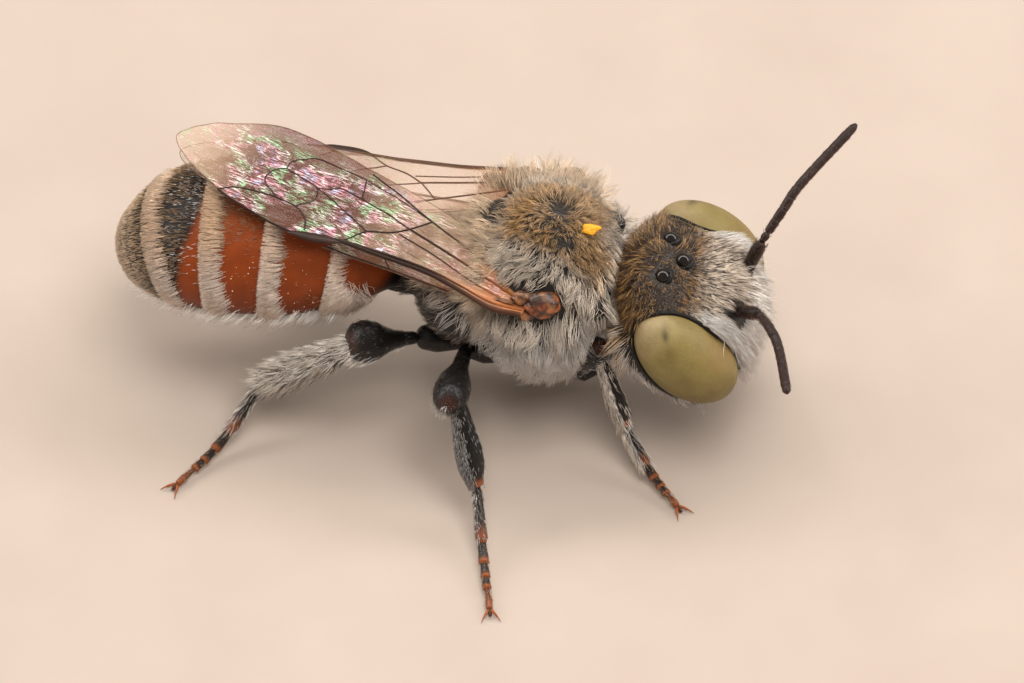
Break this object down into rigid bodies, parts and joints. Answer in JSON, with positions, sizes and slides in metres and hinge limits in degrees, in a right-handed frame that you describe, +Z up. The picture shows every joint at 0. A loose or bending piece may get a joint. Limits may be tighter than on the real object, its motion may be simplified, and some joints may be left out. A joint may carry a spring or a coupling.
{
  "type": "leafcutter bee",
  "caption": "Still life-size model of a small male leafcutter-type bee standing with its wings folded back over a banded red abdomen.",
  "frame": {"origin": "on the floor under the middle of the bee's bounding box", "axes": "+X the way the head points, +Y the bee's left, +Z up"},
  "size_m": [0.0123, 0.01, 0.0047],
  "materials": {
    "face_coat": "dense silvery white and tan hair over black cuticle",
    "thorax_coat": "golden tan and grey hair over black cuticle",
    "abdomen_red": "satin punctured orange-brown cuticle with white hair bands",
    "abdomen_dark": "dark punctured cuticle with pale hair",
    "leg_shell": "black cuticle with white hair",
    "foot": "dark cuticle reddening to the claws",
    "feeler": "dark brown finely downy cuticle",
    "compound_eye": "pale olive faceted cornea",
    "ocellus": "glossy black lens",
    "wing_membrane": "clear brownish membrane with dark veins and iridescent wrinkles",
    "tegula": "glossy translucent orange-brown scale"
  },
  "bodies": {
    "root": {"eye_right": "compound_eye", "antenna_scape_right": "feeler", "antenna_flagellum_right": "feeler", "mandible_right": "feeler", "eye_left": "compound_eye", "antenna_scape_left": "feeler", "antenna_flagellum_left": "feeler", "mandible_left": "feeler", "ocellus_median": "ocellus", "ocellus_right": "ocellus", "ocellus_left": "ocellus", "head": "face_coat", "leg_front_right_coxa": "leg_shell", "leg_front_right_femur": "leg_shell", "leg_front_right_tibia": "leg_shell", "leg_front_right_tarsus": "foot", "leg_middle_right_coxa": "leg_shell", "leg_middle_right_femur": "leg_shell", "leg_middle_right_tibia": "leg_shell", "leg_middle_right_tarsus": "foot", "leg_hind_right_coxa": "leg_shell", "leg_hind_right_femur": "leg_shell", "leg_hind_right_tibia": "leg_shell", "leg_hind_right_tarsus": "foot", "leg_front_left_coxa": "leg_shell", "leg_front_left_femur": "leg_shell", "leg_front_left_tibia": "leg_shell", "leg_front_left_tarsus": "foot", "leg_middle_left_coxa": "leg_shell", "leg_middle_left_femur": "leg_shell", "leg_middle_left_tibia": "leg_shell", "leg_middle_left_tarsus": "foot", "leg_hind_left_coxa": "leg_shell", "leg_hind_left_femur": "leg_shell", "leg_hind_left_tibia": "leg_shell", "leg_hind_left_tarsus": "foot", "neck": "leg_shell", "petiole": "leg_shell", "tegula_right": "tegula", "tegula_left": "tegula", "thorax": "thorax_coat", "propodeum": "thorax_coat", "abdomen_segment_1": "abdomen_red", "abdomen_segment_2": "abdomen_red", "abdomen_segment_3": "abdomen_red", "abdomen_segment_4": "abdomen_red", "abdomen_segment_5": "abdomen_dark", "abdomen_segment_6": "abdomen_dark", "forewing_right": "wing_membrane", "forewing_left": "wing_membrane", "hindwing_right": "wing_membrane", "hindwing_left": "wing_membrane"}
  },
  "joints": []
}
